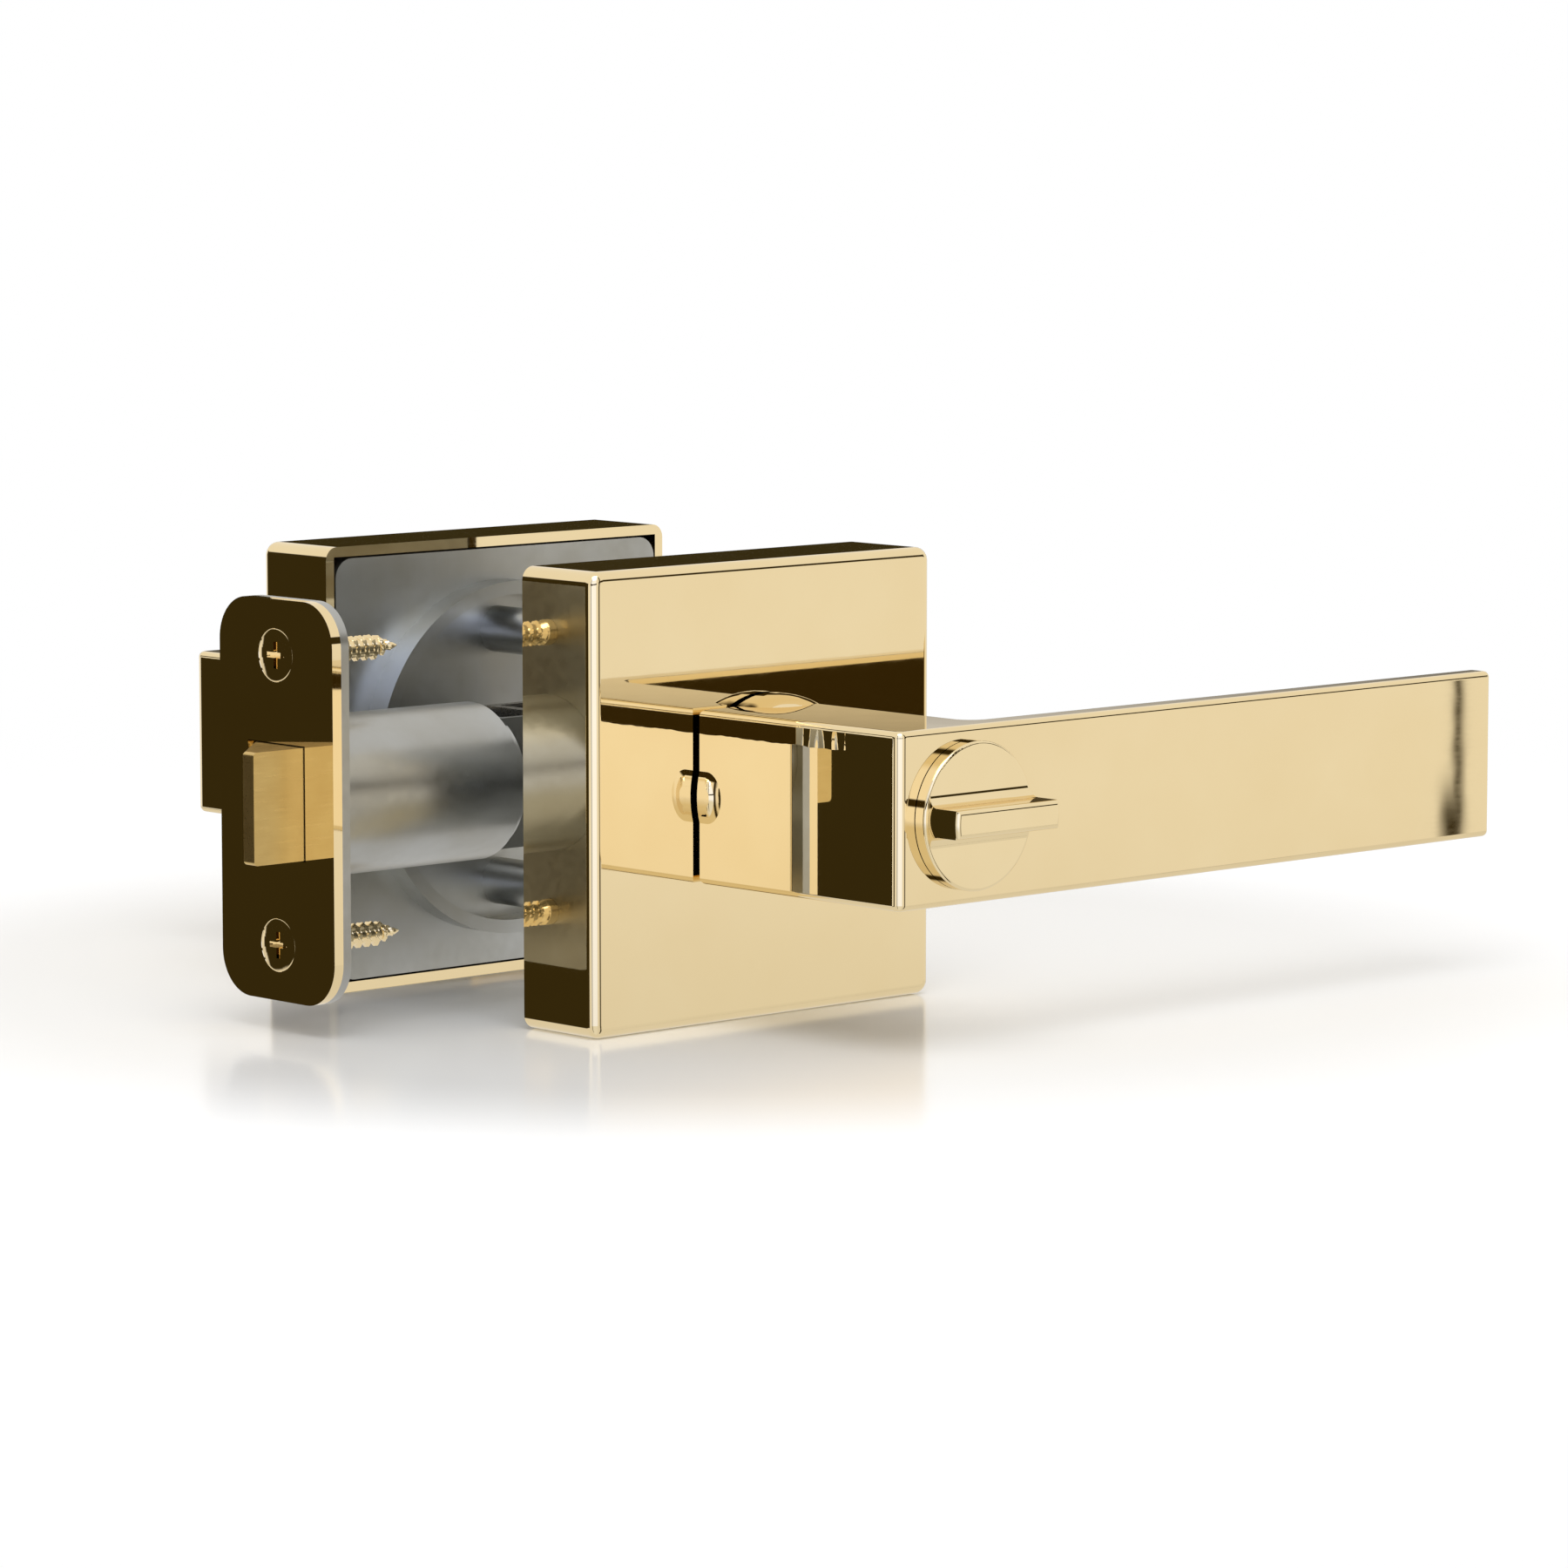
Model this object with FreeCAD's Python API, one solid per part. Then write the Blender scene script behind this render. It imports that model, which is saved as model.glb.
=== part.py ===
import FreeCAD, Part
import os
from math import cos, radians, sin, sqrt

# Privacy lever set with square roses, in millimetres, as it sits in a door.
# The origin is on the levers' axis at the inside face of the door. +X runs along the levers, towards
# the hinges, +Y goes through the door to the outside and +Z is up.
# Each half is built for the inside, where a depth measured out of the door is -Y, and the outside
# half is its mirror image in the middle plane of the door.

# The door
DOOR_THICKNESS = 44.0
CROSS_BORE_R = 27.0
BACKSET = 60.0

# Roses
ROSE_WIDTH = 66.0
ROSE_DEPTH = 15.0
ROSE_WALL = 1.5
ROSE_CORNER_R = 2.0
ROSE_EDGE_R = 1.5
ROSE_HOLE_GAP = 0.4

# Levers
LEVER_HEIGHT = 25.0
LEVER_REACH = 110.0
LEVER_FRONT = 41.5          # rose face to the front of the lever
LEVER_THICKNESS = 5.0
LEVER_TIP_THICKNESS = 4.0
LEVER_GAP = 0.7             # rose face to the back of the neck
LEVER_EDGE_R = 0.9
NECK_CORNER_R = 1.4
ARM_CORNER_R = 2.5
COLLAR_R = 14.0
COLLAR_RIM = 1.5
COLLAR_DOME_R = 9.0
NECK_LEFT = COLLAR_R - 0.5
NECK_WALL = 1.5
LEVER_TURN = 55.0           # degrees

# Shafts and their fits
SPINDLE_SQUARE = 7.0
SPINDLE_GAP = 0.05
ROD_R = 1.5
RUNNING_GAP = 0.05
SEAT_GAP = 0.02
THREAD_GAP = 0.05
SHELL_GAP = 0.3

# Mounting plates
PLATE_THICKNESS = 1.5
PLATE_RIM = 5.0
PLATE_CORNER_R = 3.0
RING_GAP = 0.5
RING_WALL = 2.0
RING_DEPTH = 4.0
BOLT_SPACING = 38.0
RIVET_SPACING = 38.0

# Spring housings and drive hubs
HOUSING_R = 15.0
HOUSING_WALL = 1.0
HOUSING_FRONT = 1.5
EAR_HALF_HEIGHT = 5.0
EAR_THICKNESS = 1.2
HUB_FLANGE_R = 10.5
HUB_NOSE_R = 8.5
HUB_NOSE_IN_LEVER = 2.3
HUB_LUG_HALF_ANGLE = 12.0
BUSH_WALL = 1.65
BUSH_FLANGE_R = 12.6
BUSH_FLANGE = 1.0
SPRING_WIRE = 1.4
SPRING_TURNS = 2.75

# Privacy turn and coin turn
BUTTON_R = 10.5
BUTTON_PROUD = 2.0
BUTTON_RIM_R = 0.4
BLADE_THICKNESS = 4.0
BLADE_HEIGHT = 6.0
BLADE_ROOT_R = 1.8
BLADE_EDGE_R = 0.7
COIN_R = 8.3
COIN_PROUD = 0.4
COIN_THICKNESS = 3.3
COIN_SLOT = 2.5
COIN_SLOT_DEPTH = 1.8
STEM_R = 3.5
STEM_LENGTH = 11.5
STEM_GROOVE_R = 2.7
STEM_RING_WIDTH = 1.8
ROD_FLAT = 0.8
ROD_KEY_LENGTH = 4.6

# Screws, bolts and rivets
BOLT_R = 2.0
BOLT_HEAD_R = 3.5
BOLT_HEAD = 2.4
POST_R = 3.5
POST_SPIGOT_R = 2.5
RIVET_R = 1.5
RIVET_HEAD_R = 2.6
RIVET_HEAD = 0.9
LEVER_SCREW_R = 2.5
ROSE_SCREW_R = 1.25

# Latch
TUBE_R = 11.5
TUBE_WALL = 1.0
TUBE_STAKE_STEP = 0.5       # less radius where it is staked in the backplate
TUBE_END = 24.0             # from the axis
FACE_WIDTH = 25.4
FACE_HEIGHT = 57.2
FACE_CORNER_R = 6.35
FACE_THICKNESS = 1.6
BACK_THICKNESS = 1.4
FACE_SCREW_SPACING = 41.3
FACE_SCREW_R = 1.9
FACE_SCREW_HEAD_R = 3.8
FACE_SCREW_LENGTH = 22.0
FACE_SCREW_POINT = 4.0
BOLT_NOSE_LEFT_OUT = 0.3     # still proud of the faceplate when drawn back
BOLT_NOSE_WIDTH = 12.4
BOLT_NOSE_HEIGHT = 16.0
BOLT_NOSE_LENGTH = 22.5
BOLT_NOSE_GAP = 0.2
BOLT_TUBE_GAP = 0.3
TAIL_R = 2.5
FRAME_PLATE = 1.1
FRAME_REACH = 10.5
HUB_HALF_WIDTH = 5.0
LATCH_HUB_GAP = 0.3          # hub to the frame's web and to the yoke
TRUNNION_WALL = 1.0
ARM_TIP_R = 1.2
ARM_LEAN = 20.0             # degrees back from upright at rest
ARM_HALF_WIDTH = 2.8
ARM_TIP_CLEARANCE = 0.5
ARM_HALF_THICKNESS = 0.95
BOLT_SPRING_R = 4.6
BOLT_SPRING_WIRE = 0.9
BOLT_SPRING_TURNS = 6.0

# Worked out from the above
ROSE_HALF = ROSE_WIDTH / 2
HALF_HEIGHT = LEVER_HEIGHT / 2
FRONT = ROSE_DEPTH + LEVER_FRONT
NECK_BACK = ROSE_DEPTH + LEVER_GAP
NECK_RIGHT = SPINDLE_SQUARE / 2 + NECK_WALL
MIDDLE = DOOR_THICKNESS / 2
RING_R = CROSS_BORE_R - RING_GAP
HOUSING_TOP = ROSE_DEPTH - ROSE_WALL - 1.5
HUB_NOSE_END = NECK_BACK + HUB_NOSE_IN_LEVER
SPINDLE_END = HUB_NOSE_END + 9.0
SPINDLE_HALF_DIAGONAL = SPINDLE_SQUARE / sqrt(2)
SQUARE_HOLE = SPINDLE_SQUARE + 2 * SPINDLE_GAP
STEM_END = FRONT - STEM_LENGTH
TRUNNION_R = SPINDLE_HALF_DIAGONAL + TRUNNION_WALL
LATCH_HUB_R = TRUNNION_R + 0.5
ARM_TIP_AT = TUBE_R - ARM_TIP_R - 0.8
LATCH_TRAVEL = ARM_TIP_AT * (sin(radians(LEVER_TURN - ARM_LEAN)) + sin(radians(ARM_LEAN)))
BOLT_NOSE_PROJECTION = LATCH_TRAVEL + BOLT_NOSE_LEFT_OUT
FACE_BACK = BACKSET - FACE_THICKNESS - BACK_THICKNESS

Vec = FreeCAD.Vector
X_AXIS = Vec(1, 0, 0)
Y_AXIS = Vec(0, 1, 0)
Z_AXIS = Vec(0, 0, 1)


# ---- plain shapes ----

def block(x, y, z):
    """A box from three (low, high) pairs."""
    return Part.makeBox(x[1] - x[0], y[1] - y[0], z[1] - z[0], Vec(x[0], y[0], z[0]))


def rod_x(radius, start, end, y=0.0, z=0.0):
    return Part.makeCylinder(radius, end - start, Vec(start, y, z), X_AXIS)


def rod_y(radius, start, end, x=0.0, z=0.0):
    return Part.makeCylinder(radius, end - start, Vec(x, start, z), Y_AXIS)


def rod_z(radius, start, end, x=0.0, y=0.0):
    return Part.makeCylinder(radius, end - start, Vec(x, y, start), Z_AXIS)


def stack(radius, inner, outer, x=0.0, z=0.0):
    """A round length on the inside half, between two depths out of the door."""
    return rod_y(radius, -outer, -inner, x, z)


def edges_on(shape, test):
    """The edges whose ends and middle all pass a test of a point."""
    found = []
    for edge in shape.Edges:
        middle = edge.valueAt((edge.FirstParameter + edge.LastParameter) / 2)
        points = [v.Point for v in edge.Vertexes] + [middle]
        if all(test(p) for p in points):
            found.append(edge)
    return found


def near(a, b):
    return abs(a - b) < 0.001


def square_bar(side, start, end):
    half = side / 2
    return block((-half, half), (start, end), (-half, half))


def sector(inner, outer, low, high, start, end):
    """Part of a ring about Y between two angles, counted from +Z towards +X, and two Y places."""
    corners = [Vec(0, start, 0)]
    reach = outer * 1.3
    for angle in (low, (low + high) / 2, high):
        corners.append(Vec(reach * sin(radians(angle)), start, reach * cos(radians(angle))))
    wedge = Part.Face(Part.makePolygon(corners + corners[:1])).extrude(Vec(0, end - start, 0))
    return rod_y(outer, start, end).cut(rod_y(inner, start, end)).common(wedge)


def coil(radius, wire, pitch, turns, place):
    """A round wire wound about its own Z, from its own X axis, and put in place."""
    path = Part.Wire([Part.makeHelix(pitch, pitch * turns, radius)])
    section = Part.Wire([Part.makeCircle(wire / 2, Vec(radius, 0, 0), Y_AXIS)])
    wound = path.makePipeShell([section], True, True)
    wound.Placement = place
    return Part.Solid(wound) if wound.ShapeType == "Shell" else wound


def outside(shape):
    """The outside half's copy of a shape built for the inside half."""
    return shape.mirror(Vec(0, MIDDLE, 0), Y_AXIS)


# ---- roses and what they hide ----

def rose_cover():
    """Square pressed cup with soft front edges, open at the door."""
    cup = block((-ROSE_HALF, ROSE_HALF), (-ROSE_DEPTH, 0), (-ROSE_HALF, ROSE_HALF))
    corners = edges_on(cup, lambda p: near(abs(p.x), ROSE_HALF) and near(abs(p.z), ROSE_HALF))
    cup = cup.makeFillet(ROSE_CORNER_R, corners)
    cup = cup.makeFillet(ROSE_EDGE_R, edges_on(cup, lambda p: near(p.y, -ROSE_DEPTH)))
    inner = ROSE_HALF - ROSE_WALL
    cup = cup.cut(block((-inner, inner), (ROSE_WALL - ROSE_DEPTH, 0), (-inner, inner)))
    cup = cup.cut(stack(HUB_NOSE_R + BUSH_WALL + ROSE_HOLE_GAP, 0, ROSE_DEPTH))
    return cup.cut(rod_z(ROSE_SCREW_R + THREAD_GAP, -ROSE_HALF, 0, 0, -PLATE_RIM / 2))


def mounting_plate(bolt_hole_r):
    """Pressed steel tray behind the rose, with the ring that centres it in the door's bore."""
    half = ROSE_HALF - ROSE_WALL - SHELL_GAP
    plate = block((-half, half), (-PLATE_RIM, 0), (-half, half))
    corners = edges_on(plate, lambda p: near(abs(p.x), half) and near(abs(p.z), half))
    plate = plate.makeFillet(PLATE_CORNER_R, corners)
    inner = half - PLATE_THICKNESS
    plate = plate.cut(block((-inner, inner), (-PLATE_RIM, -PLATE_THICKNESS), (-inner, inner)))
    ring = rod_y(RING_R, -PLATE_THICKNESS / 2, RING_DEPTH)
    plate = plate.fuse(ring.cut(rod_y(RING_R - RING_WALL, 0, RING_DEPTH)))
    plate = plate.cut(rod_y(journal_r() + RUNNING_GAP, -PLATE_RIM, RING_DEPTH))
    for side in (-1, 1):
        plate = plate.cut(rod_y(bolt_hole_r, -PLATE_RIM, RING_DEPTH, 0, side * BOLT_SPACING / 2))
        plate = plate.cut(rod_y(RIVET_R + SEAT_GAP, -PLATE_RIM, RING_DEPTH, side * RIVET_SPACING / 2))
    return plate.removeSplitter()


def journal_r():
    return SPINDLE_HALF_DIAGONAL + 2.0


def spring_end_angle():
    return spring_start_angle() - 360 * SPRING_TURNS


def spring_start_angle():
    return HUB_LUG_HALF_ANGLE + 4.0


def spring_depths():
    """The first and last depth of the return spring's wire centre."""
    first = PLATE_THICKNESS + 2.2 + SPRING_WIRE / 2
    last = HOUSING_TOP - HOUSING_FRONT - BUSH_FLANGE - 0.3 - SPRING_WIRE / 2
    return first, last


def spring_radius():
    return (HUB_FLANGE_R + HOUSING_R - HOUSING_WALL) / 2


def spring_housing():
    """Steel cup riveted to the plate by two ears, with the two stops that the hub turns between."""
    inner_r = HOUSING_R - HOUSING_WALL
    cup = stack(HOUSING_R, PLATE_THICKNESS, HOUSING_TOP)
    ear = RIVET_SPACING / 2 + RIVET_HEAD_R + 0.9
    ear_depth = (-PLATE_THICKNESS - EAR_THICKNESS, -PLATE_THICKNESS)
    cup = cup.fuse(block((-ear, ear), ear_depth, (-EAR_HALF_HEIGHT, EAR_HALF_HEIGHT)))
    cup = cup.cut(stack(inner_r, PLATE_THICKNESS, HOUSING_TOP - HOUSING_FRONT))
    cup = cup.cut(stack(HUB_NOSE_R + BUSH_WALL + SEAT_GAP, 0, HOUSING_TOP))
    for side in (-1, 1):
        cup = cup.cut(rod_y(RIVET_R + SEAT_GAP, -HOUSING_TOP, 0, side * RIVET_SPACING / 2))
    stop_depth = (-PLATE_THICKNESS - EAR_THICKNESS, -PLATE_THICKNESS)
    for low in (-HUB_LUG_HALF_ANGLE - 19.0, LEVER_TURN + HUB_LUG_HALF_ANGLE + 1.0):
        cup = cup.fuse(sector(HUB_FLANGE_R + 0.6, inner_r + HOUSING_WALL / 2, low, low + 18.0, *stop_depth))
    half = 0.75 * SPRING_WIRE
    slot = block((-half, half), (-half, half), (spring_radius(), HOUSING_R + 1))
    slot.rotate(Vec(), Y_AXIS, spring_end_angle())
    slot.translate(Vec(0, -spring_depths()[1], 0))
    return cup.cut(slot).removeSplitter()


def return_spring():
    """Torsion spring round the hub: one leg against the hub's lug, the other through the housing."""
    first, last = spring_depths()
    start = spring_start_angle()
    radius = spring_radius()
    out = Vec(0, -1, 0)
    toward = Vec(sin(radians(start)), 0, cos(radians(start)))
    turn = FreeCAD.Rotation(toward, out.cross(toward), out, "ZXY")
    place = FreeCAD.Placement(Vec(0, -first, 0), turn)
    spring = coil(radius, SPRING_WIRE, (last - first) / SPRING_TURNS, SPRING_TURNS, place)
    at = toward * radius
    leg_tip = PLATE_THICKNESS + EAR_THICKNESS + 0.2
    lug_leg = rod_y(SPRING_WIRE / 2, -first, -leg_tip, at.x, at.z)
    wall_leg = rod_z(SPRING_WIRE / 2, radius, HOUSING_R)
    wall_leg.rotate(Vec(), Y_AXIS, spring_end_angle())
    wall_leg.translate(Vec(0, -last, 0))
    return spring.fuse(lug_leg).fuse(wall_leg)


def bush():
    """Moulded nylon bush that carries the hub's nose, flanged inside the housing."""
    outer_r = HUB_NOSE_R + BUSH_WALL
    flange_back = HOUSING_TOP - HOUSING_FRONT - BUSH_FLANGE
    tube = stack(outer_r, flange_back, ROSE_DEPTH - 0.3)
    tube = tube.fuse(stack(BUSH_FLANGE_R, flange_back, HOUSING_TOP - HOUSING_FRONT))
    return tube.cut(stack(HUB_NOSE_R + RUNNING_GAP, 0, ROSE_DEPTH)).removeSplitter()


def drive_hub():
    """Turned steel hub, keyed on the spindle, that the lever and the return spring act on."""
    flange = (PLATE_THICKNESS + 0.2, HOUSING_TOP - HOUSING_FRONT - BUSH_FLANGE - 0.15)
    hub = stack(HUB_FLANGE_R, *flange)
    hub = hub.fuse(stack(journal_r(), -1.0, flange[0]))
    hub = hub.fuse(stack(HUB_NOSE_R, flange[1], HUB_NOSE_END))
    lug_depth = (-PLATE_THICKNESS - 2.0, -flange[0])
    lug_r = HOUSING_R - HOUSING_WALL - 0.5
    lug = sector(HUB_FLANGE_R - 1, lug_r, -HUB_LUG_HALF_ANGLE, HUB_LUG_HALF_ANGLE, *lug_depth)
    hub = hub.fuse(lug)
    return hub.cut(square_bar(SQUARE_HOLE, -HUB_NOSE_END, 2.0)).removeSplitter()


def housing_rivets():
    """Two rivets through the housing's ears and the plate."""
    made = []
    for side in (-1, 1):
        at = side * RIVET_SPACING / 2
        face = PLATE_THICKNESS + EAR_THICKNESS
        rivet = stack(RIVET_R, 0, face, at)
        rivet = rivet.fuse(stack(RIVET_HEAD_R, face, face + RIVET_HEAD, at))
        rivet = rivet.fuse(stack(RIVET_HEAD_R, -RIVET_HEAD, 0, at))
        rivet = rivet.removeSplitter()
        rims = edges_on(rivet, lambda p: near(p.y, RIVET_HEAD) or near(p.y, -face - RIVET_HEAD))
        made.append(rivet.makeFillet(RIVET_HEAD * 0.6, rims))
    return Part.makeCompound(made)


def rose_screw():
    """Grub screw through the rose's lower edge that bears on the plate's rim."""
    top = -(ROSE_HALF - ROSE_WALL - SHELL_GAP)
    screw = rod_z(ROSE_SCREW_R, -ROSE_HALF + 0.1, top, 0, -PLATE_RIM / 2)
    return screw.cut(hex_socket_z(0.75, -ROSE_HALF + 0.1, -ROSE_HALF + 1.0, 0, -PLATE_RIM / 2))


def hex_socket_z(half_flats, start, end, x, y):
    reach = half_flats / cos(radians(30))
    points = []
    for angle in range(0, 360, 60):
        points.append(Vec(x + reach * cos(radians(angle)), y + reach * sin(radians(angle)), start))
    return Part.Face(Part.makePolygon(points + points[:1])).extrude(Vec(0, 0, end - start))


# ---- levers ----

def lever_blank():
    """Flat bar turned back through a square corner into a neck, on a round domed collar."""
    outline = [
        (-NECK_LEFT, NECK_BACK),
        (NECK_RIGHT, NECK_BACK),
        (NECK_RIGHT, FRONT - LEVER_THICKNESS),
        (LEVER_REACH, FRONT - LEVER_TIP_THICKNESS),
        (LEVER_REACH, FRONT),
        (-NECK_LEFT, FRONT),
    ]
    points = [Vec(x, -depth, -HALF_HEIGHT) for x, depth in outline]
    bar = Part.Face(Part.makePolygon(points + points[:1])).extrude(Vec(0, 0, LEVER_HEIGHT))

    def at(x, depth):
        return edges_on(bar, lambda p: near(p.x, x) and near(p.y, -depth))

    bar = bar.makeFillet(NECK_CORNER_R, at(-NECK_LEFT, FRONT))
    bar = bar.makeFillet(ARM_CORNER_R, at(NECK_RIGHT, FRONT - LEVER_THICKNESS))
    rims = edges_on(bar, lambda p: near(abs(p.z), HALF_HEIGHT))
    tip = at(LEVER_REACH, FRONT) + at(LEVER_REACH, FRONT - LEVER_TIP_THICKNESS)
    bar = bar.makeFillet(LEVER_EDGE_R, rims + tip)
    rim_top = NECK_BACK + COLLAR_RIM
    inner = COLLAR_R - COLLAR_DOME_R
    bulge = COLLAR_DOME_R * sqrt(0.5)
    rim = Part.makePolygon([
        Vec(inner, -rim_top - COLLAR_DOME_R, 0),
        Vec(0, -rim_top - COLLAR_DOME_R, 0),
        Vec(0, -NECK_BACK, 0),
        Vec(COLLAR_R, -NECK_BACK, 0),
        Vec(COLLAR_R, -rim_top, 0),
    ])
    dome = Part.Arc(
        Vec(COLLAR_R, -rim_top, 0),
        Vec(inner + bulge, -rim_top - bulge, 0),
        Vec(inner, -rim_top - COLLAR_DOME_R, 0),
    ).toShape()
    collar = Part.Face(Part.Wire(rim.Edges + [dome])).revolve(Vec(), Y_AXIS, 360)
    return bar.fuse(collar)


def lever(face_recess_r, recess_depth):
    """The lever with its hub socket, spindle socket, screw hole and the bore for the turn's stem."""
    made = lever_blank()
    made = made.cut(stack(HUB_NOSE_R + RUNNING_GAP, 0, HUB_NOSE_END + 0.2))
    made = made.cut(square_bar(SQUARE_HOLE, -SPINDLE_END - 0.3, 0))
    made = made.cut(stack(ROD_R + 2 * RUNNING_GAP, SPINDLE_END, FRONT))
    made = made.cut(stack(STEM_R + RUNNING_GAP, STEM_END - 0.5, FRONT + 1))
    if face_recess_r:
        made = made.cut(stack(face_recess_r, FRONT - recess_depth, FRONT + 1))
    return made.cut(rod_z(LEVER_SCREW_R + THREAD_GAP, -HALF_HEIGHT - 1, 0, 0, -lever_screw_depth()))


def lever_screw_depth():
    return SPINDLE_END - 4.0


def lever_screw():
    """Grub screw from under the neck onto the spindle's flat."""
    low = -HALF_HEIGHT + 0.6
    screw = rod_z(LEVER_SCREW_R, low, -SPINDLE_SQUARE / 2, 0, -lever_screw_depth())
    return screw.cut(hex_socket_z(1.25, low, low + 2.5, 0, -lever_screw_depth()))


def spindle():
    """Square steel tube that joins both levers and the latch's hub."""
    bar = square_bar(SPINDLE_SQUARE, -SPINDLE_END, DOOR_THICKNESS + SPINDLE_END)
    ends = edges_on(bar, lambda p: near(p.y, -SPINDLE_END) or near(p.y, DOOR_THICKNESS + SPINDLE_END))
    bar = bar.makeChamfer(0.4, ends)
    return bar.cut(rod_y(ROD_R + RUNNING_GAP, -SPINDLE_END, DOOR_THICKNESS + SPINDLE_END))


# ---- privacy turn ----

def keyed_rod(radius, flat, start, end):
    """A round length along Y with one flat on its upper side."""
    return rod_y(radius, start, end).common(block((-radius, radius), (start, end), (-radius, flat)))


def turn_stem():
    """The stem of either turn, with its ring groove and the keyed hole for the rod."""
    stem = stack(STEM_R, STEM_END, FRONT + 0.1)
    groove = stem_groove_depth()
    band = stack(STEM_R + 1, groove[0], groove[1]).cut(stack(STEM_GROOVE_R, groove[0], groove[1]))
    hole = keyed_rod(ROD_R + RUNNING_GAP, ROD_FLAT + RUNNING_GAP, -STEM_END - ROD_KEY_LENGTH - 0.3, -STEM_END)
    return stem.cut(band).cut(hole)


def stem_groove_depth():
    start = STEM_END + ROD_KEY_LENGTH + 0.8
    return start, start + STEM_RING_WIDTH


def stem_ring():
    """Nylon ring in the stem's groove, which holds the turn where it is put."""
    start, end = stem_groove_depth()
    return stack(STEM_R + RUNNING_GAP - 0.02, start, end).cut(stack(STEM_GROOVE_R, start, end))


def turn_button():
    """Round turn with a straight blade across it, its stem in the lever's bore."""
    top = FRONT + BUTTON_PROUD
    plate = stack(BUTTON_R, FRONT + 0.1, top)
    half = BLADE_THICKNESS / 2
    blade = block((-BUTTON_R, BUTTON_R), (-top - BLADE_HEIGHT, -top), (-half, half))
    blade = blade.common(stack(BUTTON_R - BUTTON_RIM_R - 0.05, top, top + BLADE_HEIGHT))
    rims = edges_on(blade, lambda p: near(p.y, -top - BLADE_HEIGHT))
    blade = blade.makeFillet(BLADE_EDGE_R, rims)
    button = plate.fuse(blade).removeSplitter()
    roots = edges_on(button, lambda p: near(p.y, -top) and near(abs(p.z), half))
    button = button.makeFillet(BLADE_ROOT_R, roots)
    # the rim is rounded last, by taking away a ring, as the blade's root fillets run out over it
    eased = stack(BUTTON_R, FRONT + 0.1, top)
    eased = eased.makeFillet(BUTTON_RIM_R, edges_on(eased, lambda p: near(p.y, -top)))
    button = button.cut(stack(BUTTON_R + 1, top - BUTTON_RIM_R, top).cut(eased))
    return button.fuse(turn_stem()).removeSplitter()


def coin_turn():
    """Flat round head let into the lever, with a slot for a coin, on the same stem."""
    top = FRONT + COIN_PROUD
    head = stack(COIN_R, top - COIN_THICKNESS, top)
    head = head.makeFillet(0.3, edges_on(head, lambda p: near(p.y, -top)))
    head = head.fuse(turn_stem()).removeSplitter()
    half = COIN_SLOT / 2
    return head.cut(block((-half, half), (-top - 1, COIN_SLOT_DEPTH - top), (-COIN_R, COIN_R)))


def privacy_rod():
    """Steel rod through the spindle, with one flat at each end for the two turns."""
    near_end = -STEM_END - ROD_KEY_LENGTH
    far_end = DOOR_THICKNESS + STEM_END + ROD_KEY_LENGTH
    middle = rod_y(ROD_R, -STEM_END + 0.5, DOOR_THICKNESS + STEM_END - 0.5)
    return middle.fuse(keyed_rod(ROD_R, ROD_FLAT, near_end, far_end)).removeSplitter()


# ---- bolts through the door ----

def through_bolts():
    """Two machine screws from the inside plate into the outside plate's posts."""
    made = []
    for side in (-1, 1):
        at = side * BOLT_SPACING / 2
        under = PLATE_THICKNESS
        head = stack(BOLT_HEAD_R, under, under + BOLT_HEAD, 0, at)
        head = head.makeFillet(1.0, edges_on(head, lambda p: near(p.y, -under - BOLT_HEAD)))
        bolt = head.fuse(rod_y(BOLT_R, -under, DOOR_THICKNESS - 10.0, 0, at))
        for long_x in (True, False):
            reach = (2.0, 0.45) if long_x else (0.45, 2.0)
            bolt = bolt.cut(block((-reach[0], reach[0]), (-under - BOLT_HEAD, -under - 0.9),
                                  (at - reach[1], at + reach[1])))
        made.append(bolt.removeSplitter())
    return Part.makeCompound(made)


def threaded_posts():
    """Two tapped posts riveted into the outside plate."""
    made = []
    outer = DOOR_THICKNESS + PLATE_THICKNESS
    for side in (-1, 1):
        at = side * BOLT_SPACING / 2
        post = rod_y(POST_R, DOOR_THICKNESS * 0.27, DOOR_THICKNESS, 0, at)
        post = post.fuse(rod_y(POST_SPIGOT_R, DOOR_THICKNESS, outer, 0, at))
        post = post.fuse(rod_y(POST_R, outer, outer + 0.8, 0, at))
        made.append(post.cut(rod_y(BOLT_R + THREAD_GAP, 0, DOOR_THICKNESS - 5.0, 0, at)).removeSplitter())
    return Part.makeCompound(made)


# ---- latch ----

def face_blank(outer, inner):
    half_y = FACE_WIDTH / 2
    half_z = FACE_HEIGHT / 2
    plate = block((-outer, -inner), (MIDDLE - half_y, MIDDLE + half_y), (-half_z, half_z))
    corners = edges_on(plate, lambda p: near(abs(p.y - MIDDLE), half_y) and near(abs(p.z), half_z))
    plate = plate.makeFillet(FACE_CORNER_R, corners)
    for side in (-1, 1):
        plate = plate.cut(face_screw(side, SEAT_GAP))
    return plate


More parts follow.
